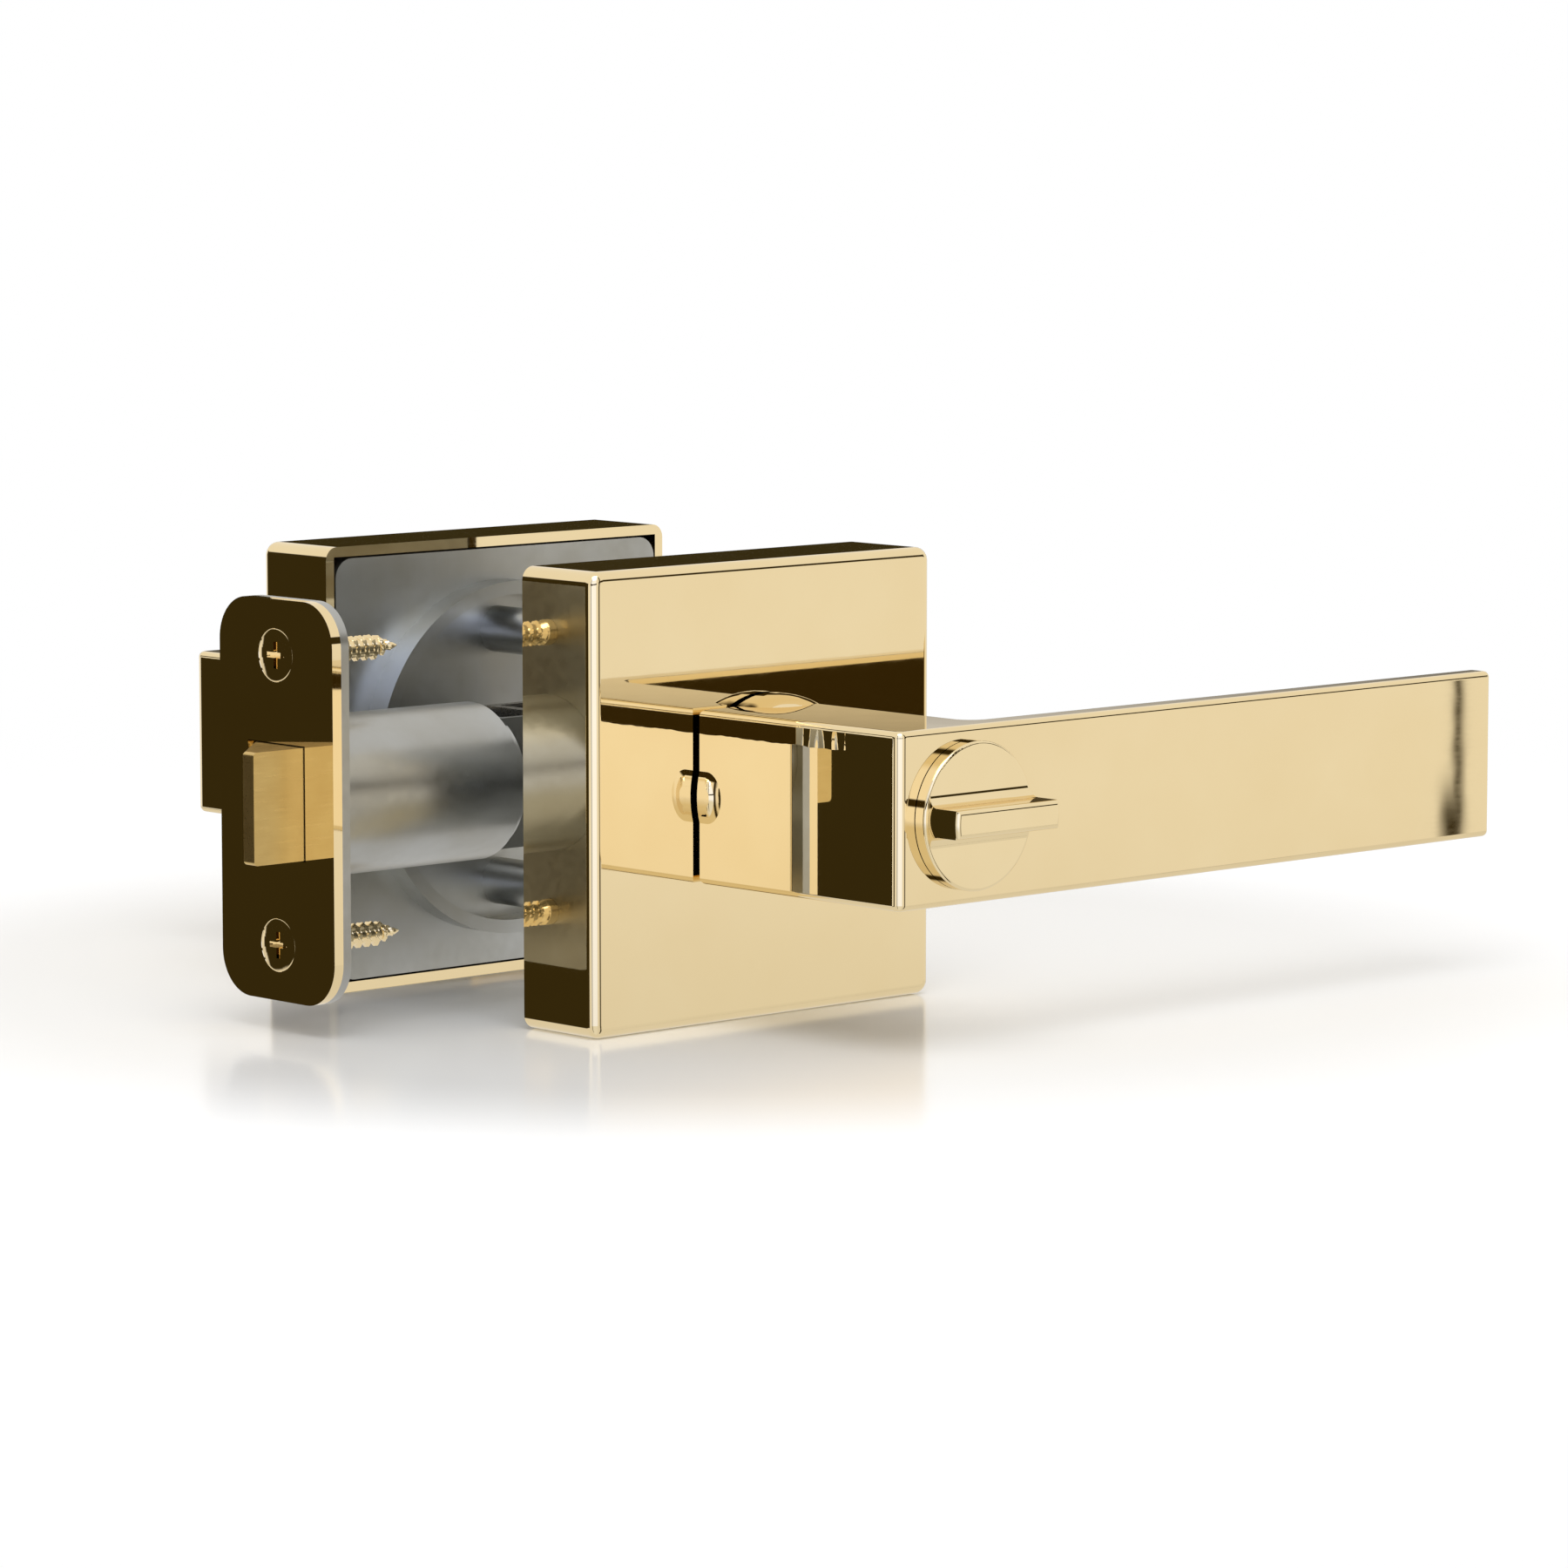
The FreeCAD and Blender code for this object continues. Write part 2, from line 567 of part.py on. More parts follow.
def face_screw(side, gap):
    """One countersunk screw, or with a gap its hole."""
    at = side * FACE_SCREW_SPACING / 2
    head_r = FACE_SCREW_HEAD_R + gap
    shank_r = FACE_SCREW_R + gap
    shank_end = -BACKSET + FACE_SCREW_LENGTH - FACE_SCREW_POINT
    cone = Part.makeCone(head_r, shank_r, head_r - shank_r, Vec(-BACKSET, MIDDLE, at), X_AXIS)
    shank = rod_x(shank_r, -BACKSET, shank_end, MIDDLE, at)
    point = Part.makeCone(shank_r, 0.3, FACE_SCREW_POINT, Vec(shank_end, MIDDLE, at), X_AXIS)
    return cone.fuse(shank).fuse(point)


def latch_faceplate():
    """Brass plate let flush into the door's edge, with a close hole for the bolt."""
    half_y = BOLT_NOSE_WIDTH / 2 + BOLT_NOSE_GAP
    half_z = BOLT_NOSE_HEIGHT / 2 + BOLT_NOSE_GAP
    hole = block((-BACKSET, -FACE_BACK), (MIDDLE - half_y, MIDDLE + half_y), (-half_z, half_z))
    return face_blank(BACKSET, BACKSET - FACE_THICKNESS).cut(hole)


def latch_backplate():
    """Steel plate behind the faceplate, with a round hole that the tube is staked into."""
    hole = rod_x(TUBE_R - TUBE_STAKE_STEP + SEAT_GAP, -BACKSET, 0, MIDDLE)
    return face_blank(BACKSET - FACE_THICKNESS, FACE_BACK).cut(hole).cut(stake_cone(SEAT_GAP))


def stake_cone(gap):
    """The cone on the tube's end that seats in the backplate's countersink, or with a gap, the countersink."""
    seat = Vec(-FACE_BACK - TUBE_STAKE_STEP, MIDDLE, 0)
    return Part.makeCone(TUBE_R - TUBE_STAKE_STEP + gap, TUBE_R + gap, TUBE_STAKE_STEP, seat, X_AXIS)


def faceplate_screws():
    made = []
    for side in (-1, 1):
        screw = face_screw(side, 0.0)
        at = side * FACE_SCREW_SPACING / 2
        for y_half, z_half in ((1.9, 0.4), (0.4, 1.9)):
            screw = screw.cut(block((-BACKSET, -BACKSET + 1.2), (MIDDLE - y_half, MIDDLE + y_half),
                                    (at - z_half, at + z_half)))
        made.append(screw.removeSplitter())
    return Part.makeCompound(made)


def latch_tube():
    """Steel tube in the edge bore, coned into the backplate and staked there, out to the frame."""
    start = FACE_THICKNESS - BACKSET
    outer = rod_x(TUBE_R, -FACE_BACK, -TUBE_END, MIDDLE).fuse(stake_cone(0))
    outer = outer.fuse(rod_x(TUBE_R - TUBE_STAKE_STEP, start, -FACE_BACK - TUBE_STAKE_STEP, MIDDLE))
    return outer.cut(rod_x(TUBE_R - TUBE_WALL, start, -TUBE_END, MIDDLE))


def frame_half_width():
    return HUB_HALF_WIDTH + 0.2


def latch_frame():
    """Folded steel frame: a plug in the tube's end, two side plates that carry the hub, and a web."""
    inner = frame_half_width()
    outer = inner + FRAME_PLATE
    high = sqrt((TUBE_R - 0.1) ** 2 - outer ** 2)
    plug = rod_x(TUBE_R - TUBE_WALL - SEAT_GAP, -TUBE_END - 1.5, -TUBE_END + 1.5, MIDDLE)
    sides = block((-TUBE_END, FRAME_REACH), (MIDDLE - outer, MIDDLE + outer), (-high, high))
    gap = (MIDDLE - inner, MIDDLE + inner)
    hollow = block((-TUBE_END + 1.5, FRAME_REACH), gap, (FRAME_PLATE - high, high))
    made = plug.fuse(sides).cut(hollow).cut(rod_y(LATCH_HUB_R + LATCH_HUB_GAP, *gap))
    made = made.cut(rod_x(TAIL_R + RUNNING_GAP, -TUBE_END - 2, -TUBE_END + 2, MIDDLE))
    return made.cut(rod_y(TRUNNION_R + RUNNING_GAP, MIDDLE - outer, MIDDLE + outer)).removeSplitter()


def latch_hub():
    """Hub on the spindle between the frame's sides, with one arm that draws the bolt."""
    outer = frame_half_width() + FRAME_PLATE
    hub = rod_y(LATCH_HUB_R, MIDDLE - HUB_HALF_WIDTH, MIDDLE + HUB_HALF_WIDTH)
    hub = hub.fuse(rod_y(TRUNNION_R, MIDDLE - outer, MIDDLE + outer))
    start = MIDDLE - ARM_HALF_WIDTH
    end = MIDDLE + ARM_HALF_WIDTH
    arm = block((-ARM_HALF_THICKNESS, ARM_HALF_THICKNESS), (start, end), (0, ARM_TIP_AT))
    arm = arm.fuse(rod_y(ARM_TIP_R, start, end, 0, ARM_TIP_AT))
    arm.rotate(Vec(), Y_AXIS, -ARM_LEAN)
    hub = hub.fuse(arm)
    return hub.cut(square_bar(SQUARE_HOLE, MIDDLE - outer, MIDDLE + outer)).removeSplitter()


def latch_retractor():
    """Tail rod from the bolt, opened behind the tube into a yoke that the hub's arm pushes."""
    arm_face = ARM_TIP_R - ARM_TIP_AT * sin(radians(ARM_LEAN)) + ARM_TIP_CLEARANCE
    low = max(ARM_TIP_AT * cos(radians(LEVER_TURN - ARM_LEAN)) - 0.2, LATCH_HUB_R + LATCH_HUB_GAP)
    high = TUBE_R - 1.4
    rail = (ARM_HALF_WIDTH + 0.5, HUB_HALF_WIDTH - 0.1)
    riser_end = -LATCH_HUB_R - LATCH_TRAVEL - 0.5
    riser_start = riser_end - 2.0
    yoke = block((riser_start, arm_face + 2.6), (MIDDLE - rail[1], MIDDLE + rail[1]), (low, high))
    window = block((riser_end, arm_face), (MIDDLE - rail[0], MIDDLE + rail[0]), (low, high))
    yoke = yoke.cut(window)
    width = (MIDDLE - rail[1], MIDDLE + rail[1])
    yoke = yoke.fuse(block((riser_start, riser_end), width, (-TAIL_R - 1.5, high)))
    tail = rod_x(TAIL_R, tail_start(), riser_start, MIDDLE)
    made = yoke.fuse(tail)
    return made.cut(rod_z(1.0 + SEAT_GAP, -TAIL_R, TAIL_R, pin_place(), MIDDLE)).removeSplitter()


def nose_back():
    return -BACKSET - BOLT_NOSE_PROJECTION + BOLT_NOSE_LENGTH


def tail_start():
    return nose_back() - 8.0


def pin_place():
    return nose_back() - 4.0


def latch_bolt():
    """Cast brass bolt with its nose sloped on the side that meets the strike."""
    tip = -BACKSET - BOLT_NOSE_PROJECTION
    half_y = BOLT_NOSE_WIDTH / 2
    half_z = BOLT_NOSE_HEIGHT / 2
    slope_end = MIDDLE + half_y
    slope_start = MIDDLE - half_y + 2.4
    outline = [
        (tip, MIDDLE - half_y),
        (nose_back(), MIDDLE - half_y),
        (nose_back(), slope_end),
        (tip + slope_end - slope_start, slope_end),
        (tip, slope_start),
    ]
    points = [Vec(x, y, -half_z) for x, y in outline]
    bolt = Part.Face(Part.makePolygon(points + points[:1])).extrude(Vec(0, 0, BOLT_NOSE_HEIGHT))
    bolt = bolt.makeFillet(0.6, edges_on(bolt, lambda p: p.x < nose_back() - 1 and near(abs(p.z), half_z)))
    bolt = bolt.common(rod_x(TUBE_R - TUBE_WALL - BOLT_TUBE_GAP, tip - 1, nose_back() + 1, MIDDLE))
    bolt = bolt.cut(rod_x(TAIL_R + SEAT_GAP, tail_start(), nose_back(), MIDDLE))
    return bolt.cut(rod_z(1.0 + SEAT_GAP, -half_z, half_z, pin_place(), MIDDLE))


def bolt_pin():
    """Steel pin through the bolt and its tail."""
    reach = BOLT_NOSE_HEIGHT / 2 - 0.5
    return rod_z(1.0, -reach, reach, pin_place(), MIDDLE)


def bolt_spring():
    """Compression spring on the tail, between the bolt and the frame's plug."""
    start = nose_back() + BOLT_SPRING_WIRE / 2 + 0.05
    end = -TUBE_END - 1.5 - BOLT_SPRING_WIRE / 2 - 0.05
    turn = FreeCAD.Rotation(Vec(0, 1, 0), Vec(0, 0, 1), Vec(1, 0, 0), "ZXY")
    place = FreeCAD.Placement(Vec(start, MIDDLE, 0), turn)
    return coil(BOLT_SPRING_R, BOLT_SPRING_WIRE, (end - start) / BOLT_SPRING_TURNS, BOLT_SPRING_TURNS, place)


# ---- the set ----

def all_pieces():
    inside_half = {
        "rose_cover": rose_cover(),
        "spring_housing": spring_housing(),
        "return_spring": return_spring(),
        "hub_bush": bush(),
        "drive_hub": drive_hub(),
        "housing_rivets": housing_rivets(),
        "rose_screw": rose_screw(),
        "lever_screw": lever_screw(),
        "stem_ring": stem_ring(),
    }
    pieces = {}
    for name, shape in inside_half.items():
        pieces["interior_" + name] = shape
        pieces["exterior_" + name] = outside(shape)
    pieces["interior_mounting_plate"] = mounting_plate(BOLT_R + 0.2)
    pieces["exterior_mounting_plate"] = outside(mounting_plate(POST_SPIGOT_R + SEAT_GAP))
    pieces["interior_lever"] = lever(0.0, 0.0)
    pieces["exterior_lever"] = outside(lever(COIN_R + 0.1, COIN_THICKNESS - COIN_PROUD + 0.1))
    pieces["turn_button"] = turn_button()
    pieces["coin_turn"] = outside(coin_turn())
    pieces["privacy_rod"] = privacy_rod()
    pieces["spindle"] = spindle()
    pieces["through_bolts"] = through_bolts()
    pieces["threaded_posts"] = threaded_posts()
    pieces["latch_faceplate"] = latch_faceplate()
    pieces["latch_backplate"] = latch_backplate()
    pieces["faceplate_screws"] = faceplate_screws()
    pieces["latch_tube"] = latch_tube()
    pieces["latch_frame"] = latch_frame()
    pieces["latch_hub"] = latch_hub()
    pieces["latch_retractor"] = latch_retractor()
    pieces["latch_bolt"] = latch_bolt()
    pieces["bolt_pin"] = bolt_pin()
    pieces["bolt_spring"] = bolt_spring()
    return pieces


os.makedirs("parts", exist_ok=True)
for node, shape in all_pieces().items():
    shape.exportStep("parts/" + node + ".step")
    print(node, shape.ShapeType, len(shape.Solids), shape.isValid(), round(shape.Volume, 1))
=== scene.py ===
from math import cos, pi, radians, sin

import bpy
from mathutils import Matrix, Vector


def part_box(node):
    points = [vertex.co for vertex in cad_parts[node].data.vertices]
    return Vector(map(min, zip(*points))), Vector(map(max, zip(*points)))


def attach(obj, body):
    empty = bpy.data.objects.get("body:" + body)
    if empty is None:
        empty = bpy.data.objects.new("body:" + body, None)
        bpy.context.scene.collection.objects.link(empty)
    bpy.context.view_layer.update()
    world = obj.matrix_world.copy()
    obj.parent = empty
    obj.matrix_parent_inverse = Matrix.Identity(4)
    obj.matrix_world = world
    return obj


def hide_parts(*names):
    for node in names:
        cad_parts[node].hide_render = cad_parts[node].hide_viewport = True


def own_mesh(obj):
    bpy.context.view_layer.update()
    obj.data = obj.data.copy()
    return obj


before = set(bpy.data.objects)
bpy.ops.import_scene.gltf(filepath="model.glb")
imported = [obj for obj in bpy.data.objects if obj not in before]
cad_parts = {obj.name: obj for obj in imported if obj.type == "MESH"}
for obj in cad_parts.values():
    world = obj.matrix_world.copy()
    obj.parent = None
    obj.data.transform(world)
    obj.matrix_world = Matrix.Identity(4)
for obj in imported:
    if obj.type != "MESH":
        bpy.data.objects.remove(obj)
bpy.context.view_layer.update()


# ---- rose covers ----
# Square covers drawn from brass sheet with a soft front edge, open at the door. They are buffed to a
# mirror and lacquered, and a small screw holds each on the mounting plate behind it.

def linear(hex_colour):
    """An sRGB hex colour as the linear RGBA that a shader takes."""
    parts = [int(hex_colour[i:i + 2], 16) / 255 for i in (1, 3, 5)]
    return tuple(p / 12.92 if p <= 0.04045 else ((p + 0.055) / 1.055) ** 2.4 for p in parts) + (1.0,)


def put(tree, kind, inputs=None, **settings):
    """Adds a node, with its settings, and its inputs as plain values or as sockets to link from."""
    node = tree.nodes.new("ShaderNode" + kind)
    for name, value in settings.items():
        setattr(node, name, value)
    for name, value in (inputs or {}).items():
        if isinstance(value, bpy.types.NodeSocket):
            tree.links.new(value, node.inputs[name])
        else:
            node.inputs[name].default_value = value
    return node


def new_material(name):
    """An empty material, its node tree and the coordinates of the piece in metres."""
    material = bpy.data.materials.new(name)
    material.use_nodes = True
    tree = material.node_tree
    tree.nodes.clear()
    return material, tree, put(tree, "TexCoord").outputs["Object"]


def finish_nodes(node_names, material):
    """Gives CAD nodes their surface."""
    for name in node_names:
        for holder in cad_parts[name].material_slots:
            holder.material = material


def polished_brass(name, light, deep, wave_height, sharpest, softest):
    """Buffed and lacquered brass: mirror gloss, a slow wave left by the buffing wheel, and fine buff lines.

    Real buff lines are too fine to show, so they are drawn coarser, at a third of a millimetre.
    """
    cloud = 0.016
    wave = 0.008
    buff_line = 0.00035
    buff_line_depth = 1.5e-8
    stretch_along_x = 0.12
    material, tree, place = new_material(name)
    clouds = put(tree, "TexNoise", {"Vector": place, "Scale": 1 / cloud, "Detail": 3.0})
    tint = put(tree, "Mix", {"Factor": clouds.outputs["Fac"], 6: linear(light), 7: linear(deep)},
               data_type="RGBA")
    along = put(tree, "Mapping", {"Vector": place, "Scale": (stretch_along_x, 1.0, 1.0)})
    lines = put(tree, "TexNoise", {"Vector": along.outputs[0], "Scale": 1 / buff_line, "Detail": 4.0})
    gloss = put(tree, "MapRange", {"Value": lines.outputs["Fac"], "From Min": 0.3, "From Max": 0.7,
                                   "To Min": sharpest, "To Max": softest})
    slow = put(tree, "TexNoise", {"Vector": place, "Scale": 1 / wave, "Detail": 1.0})
    rolled = put(tree, "Bump", {"Height": slow.outputs["Fac"], "Strength": 1.0, "Distance": wave_height})
    scored = put(tree, "Bump", {"Height": lines.outputs["Fac"], "Strength": 1.0, "Distance": buff_line_depth,
                                "Normal": rolled.outputs[0]})
    shader = put(tree, "BsdfPrincipled", {"Base Color": tint.outputs[2], "Metallic": 1.0,
                                          "Roughness": gloss.outputs[0], "Normal": scored.outputs[0]})
    put(tree, "OutputMaterial", {"Surface": shader.outputs[0]})
    return material


finish_nodes(["interior_rose_cover", "exterior_rose_cover"],
             polished_brass("brass_drawn_and_buffed", "#f4e2b8", "#efdaac", 2.0e-6, 0.016, 0.04))


# ---- levers ----
# Brass forgings, milled flat, mitred at the turn and buffed on every face, so their flats are truer
# mirrors than the roses'. The wheel has rolled the neck's upper edge. Each ends in a round collar.

def roll_neck_edge(material, neck_top):
    """Tilts the top of the neck's outer side up, as the wheel leaves it, from a frayed line to the edge."""
    rolled_width = 0.0034
    slope = 0.24
    fraying = 0.0003
    fray_length = 0.003
    fray_stretch = 0.3
    faces_out = -0.995
    faces_away = -0.98
    tree = material.node_tree
    shader = tree.nodes["Principled BSDF"]
    buffed = shader.inputs["Normal"].links[0].from_socket
    where = put(tree, "TexCoord")
    facing = put(tree, "SeparateXYZ", {0: where.outputs["Normal"]})
    outer = put(tree, "MapRange", {"Value": facing.outputs["X"], "From Min": faces_out,
                                   "From Max": faces_away, "To Min": 1.0, "To Max": 0.0})
    place = where.outputs["Object"]
    drawn_up = put(tree, "Mapping", {"Vector": place, "Scale": (1.0, 1.0, fray_stretch)})
    frayed = put(tree, "TexNoise", {"Vector": drawn_up.outputs[0], "Scale": 1 / fray_length, "Detail": 1.0})
    ragged = put(tree, "MapRange", {"Value": frayed.outputs["Fac"], "To Min": -fraying, "To Max": fraying})
    level = put(tree, "SeparateXYZ", {0: place})
    up = put(tree, "Math", {0: level.outputs["Z"], 1: ragged.outputs[0]}, operation="ADD")
    fall = put(tree, "MapRange", {"Value": up.outputs[0], "From Min": neck_top - rolled_width,
                                  "From Max": neck_top, "To Min": 1.0, "To Max": 0.0})
    height = put(tree, "Math", {0: fall.outputs[0], 1: outer.outputs[0]}, operation="MULTIPLY")
    rolled = put(tree, "Bump", {"Height": height.outputs[0], "Strength": 1.0,
                                "Distance": slope * rolled_width, "Normal": buffed})
    tree.links.new(rolled.outputs[0], shader.inputs["Normal"])


NECK_TOP = 0.0125
lever_brass = polished_brass("brass_forged_and_buffed", "#f4e2b8", "#eed9ab", 1.4e-6, 0.011, 0.016)
roll_neck_edge(lever_brass, NECK_TOP)
finish_nodes(["interior_lever", "exterior_lever"], lever_brass)


# ---- thumb turn and coin slot ----
# Turned from brass bar and buffed. The thumb turn's blade is milled from the same piece as its disc.
# The coin disc's slot is left as milled, and a thin ring at its rim is darkened in the same colour, as
# painted shade for the gap round it.

def mill_slot_and_shade_rim(material, face, rim):
    """Keeps a buffed disc's slot as the cutter left it, matt and grained, and gives a thin ring at its rim
    the same colour and gloss, as painted shade.
    """
    buffed_depth = 0.0005
    milled_depth = 0.0008
    # painted shade: the outer ring of the disc takes the slot's milled colour, for the shade in the gap round
    # it
    rim_shade_width = 0.0002
    rim_shade_fade = 0.00008
    cutter_grain = 0.0004
    dull_roughness = 0.4
    tree = material.node_tree
    shader = tree.nodes["Principled BSDF"]
    buffed = shader.inputs["Base Color"].links[0].from_socket
    gloss = shader.inputs["Roughness"].links[0].from_socket
    place = put(tree, "TexCoord").outputs["Object"]
    depth = put(tree, "SeparateXYZ", {0: place})
    cut = put(tree, "MapRange", {"Value": depth.outputs["Y"], "From Min": face - milled_depth,
                                 "From Max": face - buffed_depth, "To Min": 1.0, "To Max": 0.0})
    across = put(tree, "VectorMath", {0: place, 1: (1.0, 0.0, 1.0)}, operation="MULTIPLY")
    radius = put(tree, "VectorMath", {0: across.outputs[0]}, operation="LENGTH")
    # painted shade on a thin ring at the disc's rim
    painted_rim_shade = put(tree, "MapRange", {"Value": radius.outputs["Value"],
                                   "From Min": rim - rim_shade_width - rim_shade_fade, "From Max": rim - rim_shade_width})
    # the slot's milled finish, together with the painted shade on the rim
    milled_slot_and_rim_shade = put(tree, "Math", {0: cut.outputs[0], 1: painted_rim_shade.outputs[0]}, operation="MAXIMUM")
    grain = put(tree, "TexNoise", {"Vector": place, "Scale": 1 / cutter_grain, "Detail": 3.0})
    milled = put(tree, "Mix", {"Factor": grain.outputs["Fac"], 6: linear("#cdb577"), 7: linear("#97834f")},
                 data_type="RGBA")
    tint = put(tree, "Mix", {"Factor": milled_slot_and_rim_shade.outputs[0], 6: buffed, 7: milled.outputs[2]}, data_type="RGBA")
    tree.links.new(tint.outputs[2], shader.inputs["Base Color"])
    rough = put(tree, "Mix", {"Factor": milled_slot_and_rim_shade.outputs[0], 2: gloss, 3: dull_roughness}, data_type="FLOAT")
    tree.links.new(rough.outputs[0], shader.inputs["Roughness"])


finish_nodes(["turn_button"],
             polished_brass("brass_turned_and_buffed", "#f5e4bb", "#efdbae", 2.0e-6, 0.012, 0.03))
COIN_R = 0.0083
coin_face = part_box("coin_turn")[1].y
coin_brass = polished_brass("brass_turned_slotted_and_buffed", "#f5e4bb", "#efdbae", 2.0e-6, 0.012, 0.03)
mill_slot_and_shade_rim(coin_brass, coin_face, COIN_R)
finish_nodes(["coin_turn"], coin_brass)


# ---- nylon bushes and rings ----
# Moulded in natural nylon: the bushes carry the drive hubs, and the rings keep the stems in the levers.

def moulded_nylon():
    """Natural nylon, moulded: milky, a little uneven in tone, with the mould's fine matt grain."""
    flow_mark = 0.006
    grain = 0.00025
    grain_depth = 8e-6
    material, tree, place = new_material("nylon_moulded_natural")
    flow = put(tree, "TexNoise", {"Vector": place, "Scale": 1 / flow_mark, "Detail": 3.0})
    tint = put(tree, "Mix", {"Factor": flow.outputs["Fac"], 6: linear("#e9e5d8"), 7: linear("#dcd6c4")},
               data_type="RGBA")
    matt = put(tree, "TexNoise", {"Vector": place, "Scale": 1 / grain, "Detail": 2.0})
    gloss = put(tree, "MapRange", {"Value": matt.outputs["Fac"], "To Min": 0.42, "To Max": 0.6})
    bump = put(tree, "Bump", {"Height": matt.outputs["Fac"], "Strength": 0.6, "Distance": grain_depth})
    shader = put(tree, "BsdfPrincipled", {"Base Color": tint.outputs[2], "Roughness": gloss.outputs[0],
                                          "IOR": 1.53, "Subsurface Weight": 0.15, "Subsurface Scale": 0.001,
                                          "Normal": bump.outputs[0]})
    put(tree, "OutputMaterial", {"Surface": shader.outputs[0]})
    return material


finish_nodes(["interior_hub_bush", "exterior_hub_bush", "interior_stem_ring", "exterior_stem_ring"],
             moulded_nylon())


# ---- mounting plates, spring housings and rivets ----
# Pressed from steel sheet and zinc plated, with the housings riveted to the plates.

def zinc_plated_steel(name, light, deep):
    """Bright zinc plate on steel: cool grey with a faint warm cloud, and a soft broken shine.

    The plate's real grain is too fine to show, so it is drawn coarser, at over a millimetre.
    """
    warm_cloud = 0.011
    grain = 0.0013
    grain_depth = 3e-7
    material, tree, place = new_material(name)
    cloud = put(tree, "TexNoise", {"Vector": place, "Scale": 1 / warm_cloud, "Detail": 5.0})
    tint = put(tree, "Mix", {"Factor": cloud.outputs["Fac"], 6: linear(light), 7: linear(deep)},
               data_type="RGBA")
    fine = put(tree, "TexNoise", {"Vector": place, "Scale": 1 / grain, "Detail": 1.5})
    gloss = put(tree, "MapRange", {"Value": fine.outputs["Fac"], "From Min": 0.3, "From Max": 0.7,
                                   "To Min": 0.3, "To Max": 0.36})
    bump = put(tree, "Bump", {"Height": fine.outputs["Fac"], "Strength": 0.6, "Distance": grain_depth})
    shader = put(tree, "BsdfPrincipled", {"Base Color": tint.outputs[2], "Metallic": 1.0,
                                          "Roughness": gloss.outputs[0], "Normal": bump.outputs[0]})
    put(tree, "OutputMaterial", {"Surface": shader.outputs[0]})
    return material


pressed_zinc = zinc_plated_steel("zinc_plated_pressed_steel", "#c3c7ca", "#a9a79c")
finish_nodes(["interior_mounting_plate", "exterior_mounting_plate", "interior_spring_housing",
              "exterior_spring_housing", "interior_housing_rivets", "exterior_housing_rivets"], pressed_zinc)


# ---- spindle, hubs, privacy rod, retractor and bolt pin ----
# The hubs are turned from steel bar; the spindle and rod are drawn steel, cut to length. The bolt's
# retractor and its pin are milled.

def bright_steel(name, line_scale):
    """Uncoated steel from the lathe, mill or draw bench: grey, with tool lines stretched by line_scale."""
    line_step = 0.0003
    line_depth = 4e-6
    material, tree, place = new_material(name)
    along = put(tree, "Mapping", {"Vector": place, "Scale": line_scale})
    lines = put(tree, "TexNoise", {"Vector": along.outputs[0], "Scale": 1 / line_step, "Detail": 4.0})
    tint = put(tree, "Mix", {"Factor": lines.outputs["Fac"], 6: linear("#bdbab4"), 7: linear("#a29e97")},
               data_type="RGBA")
    gloss = put(tree, "MapRange", {"Value": lines.outputs["Fac"], "To Min": 0.18, "To Max": 0.36})
    bump = put(tree, "Bump", {"Height": lines.outputs["Fac"], "Strength": 0.8, "Distance": line_depth})
    shader = put(tree, "BsdfPrincipled", {"Base Color": tint.outputs[2], "Metallic": 1.0,
                                          "Roughness": gloss.outputs[0], "Normal": bump.outputs[0]})
    put(tree, "OutputMaterial", {"Surface": shader.outputs[0]})
    return material


finish_nodes(["interior_drive_hub", "exterior_drive_hub", "latch_hub"],
             bright_steel("steel_turned", (0.15, 1.0, 0.15)))
finish_nodes(["spindle", "privacy_rod"], bright_steel("steel_drawn", (1.0, 0.04, 1.0)))
finish_nodes(["latch_retractor", "bolt_pin"], bright_steel("steel_milled", (0.06, 1.0, 1.0)))


# ---- springs ----
# Wound from oil-tempered wire: one round each drive hub, and one on the latch's tail rod. The latch's
# has closed ends; the real one shortens as the bolt is drawn back, but this coil is built at one length.

def spring_wire():
    """Oil-tempered wire: blue-grey, with die lines and a thin film of oil."""
    scale_patch = 0.0007
    scale_depth = 5e-6
    material, tree, place = new_material("spring_steel_oil_tempered")
    scale = put(tree, "TexNoise", {"Vector": place, "Scale": 1 / scale_patch, "Detail": 5.0})
    tint = put(tree, "Mix", {"Factor": scale.outputs["Fac"], 6: linear("#6f7378"), 7: linear("#4c4a49")},
               data_type="RGBA")
    gloss = put(tree, "MapRange", {"Value": scale.outputs["Fac"], "To Min": 0.24, "To Max": 0.46})
    bump = put(tree, "Bump", {"Height": scale.outputs["Fac"], "Strength": 0.5, "Distance": scale_depth})
    shader = put(tree, "BsdfPrincipled", {"Base Color": tint.outputs[2], "Metallic": 1.0,
                                          "Roughness": gloss.outputs[0], "Normal": bump.outputs[0]})
    put(tree, "OutputMaterial", {"Surface": shader.outputs[0]})
    return material


tempered_wire = spring_wire()
finish_nodes(["interior_return_spring", "exterior_return_spring"], tempered_wire)


